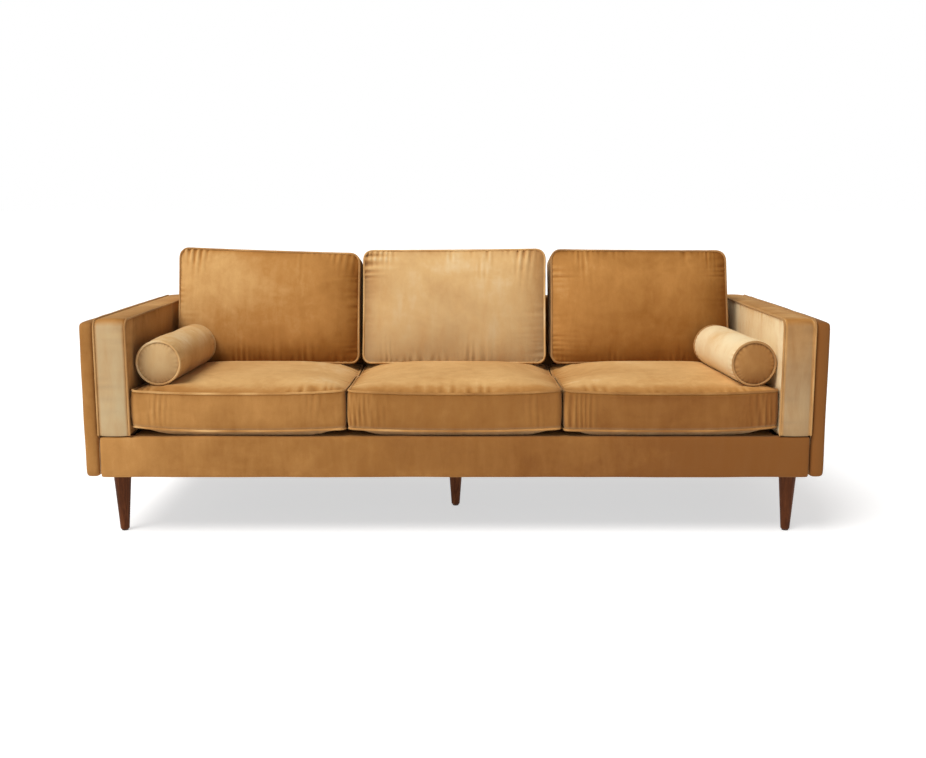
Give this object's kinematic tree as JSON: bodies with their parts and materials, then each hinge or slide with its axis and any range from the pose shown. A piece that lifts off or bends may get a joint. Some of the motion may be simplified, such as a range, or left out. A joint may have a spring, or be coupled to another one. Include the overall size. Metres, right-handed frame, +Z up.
{
  "type": "sofa with wooden legs",
  "caption": "Upholstered sofa with loose boxed seat and back cushions, bolsters, padded arms inside flat wing panels, and tapered wooden legs.",
  "frame": {"origin": "on the floor, under the middle of the overall box in X and Y", "axes": "+X along the sofa to the right as seen from the front, +Y from the front to the back, +Z up"},
  "size_m": [2.2, 0.9, 0.8344],
  "materials": {
    "velvet": "satin",
    "leg_wood": "satin",
    "timber": "matte",
    "plywood": "matte",
    "foam": "matte",
    "spring_steel": "satin",
    "zinc_steel": "satin",
    "webbing": "matte",
    "dust_cloth": "matte",
    "glide_plastic": "matte"
  },
  "bodies": {
    "frame": {"arm_cover_left": "velvet", "arm_cover_right": "velvet", "arm_frame_left": "timber", "arm_frame_right": "timber", "arm_piping_left": "velvet", "arm_piping_right": "velvet", "back_frame": "timber", "back_rail": "timber", "back_webbing": "webbing", "centre_leg_block": "timber", "centre_rail": "timber", "corner_blocks": "timber", "deck_pad": "foam", "dust_cover": "dust_cloth", "foot_glides": "glide_plastic", "front_band": "velvet", "front_rail": "timber", "inside_back_cover": "velvet", "leg_bolts": "zinc_steel", "leg_centre": "leg_wood", "leg_front_left": "leg_wood", "leg_front_right": "leg_wood", "leg_rear_left": "leg_wood", "leg_rear_right": "leg_wood", "outside_back_board": "plywood", "outside_back_cover": "velvet", "panel_bolts": "zinc_steel", "seat_springs": "spring_steel", "side_rail_left": "timber", "side_rail_right": "timber", "spring_clips": "spring_steel", "tee_nuts": "zinc_steel", "wing_board_left": "plywood", "wing_board_right": "plywood", "wing_cover_left": "velvet", "wing_cover_right": "velvet"},
    "seat_left": {"seat_cushion_left_core": "foam", "seat_cushion_left_cover": "velvet", "seat_cushion_left_piping": "velvet"},
    "back_left": {"back_cushion_left_core": "foam", "back_cushion_left_cover": "velvet", "back_cushion_left_piping": "velvet"},
    "seat_middle": {"seat_cushion_middle_core": "foam", "seat_cushion_middle_cover": "velvet", "seat_cushion_middle_piping": "velvet"},
    "back_middle": {"back_cushion_middle_core": "foam", "back_cushion_middle_cover": "velvet", "back_cushion_middle_piping": "velvet"},
    "seat_right": {"seat_cushion_right_core": "foam", "seat_cushion_right_cover": "velvet", "seat_cushion_right_piping": "velvet"},
    "back_right": {"back_cushion_right_core": "foam", "back_cushion_right_cover": "velvet", "back_cushion_right_piping": "velvet"},
    "bolster_left": {"bolster_left_core": "foam", "bolster_left_cover": "velvet", "bolster_left_piping": "velvet"},
    "bolster_right": {"bolster_right_core": "foam", "bolster_right_cover": "velvet", "bolster_right_piping": "velvet"}
  },
  "joints": [
    {"name": "seat_left_lift", "type": "slide", "parent": "frame", "child": "seat_left", "axis": [0, 0, 1], "range_m": [0, 0.4]},
    {"name": "seat_middle_lift", "type": "slide", "parent": "frame", "child": "seat_middle", "axis": [0, 0, 1], "range_m": [0, 0.4]},
    {"name": "seat_right_lift", "type": "slide", "parent": "frame", "child": "seat_right", "axis": [0, 0, 1], "range_m": [0, 0.4]},
    {"name": "back_left_lift", "type": "slide", "parent": "seat_left", "child": "back_left", "axis": [0, 0, 1], "range_m": [0, 0.3]},
    {"name": "back_middle_lift", "type": "slide", "parent": "seat_middle", "child": "back_middle", "axis": [0, 0, 1], "range_m": [0, 0.3]},
    {"name": "back_right_lift", "type": "slide", "parent": "seat_right", "child": "back_right", "axis": [0, 0, 1], "range_m": [0, 0.3]},
    {"name": "bolster_left_lift", "type": "slide", "parent": "seat_left", "child": "bolster_left", "axis": [0, 0, 1], "range_m": [0, 0.3]},
    {"name": "bolster_right_lift", "type": "slide", "parent": "seat_right", "child": "bolster_right", "axis": [0, 0, 1], "range_m": [0, 0.3]}
  ]
}
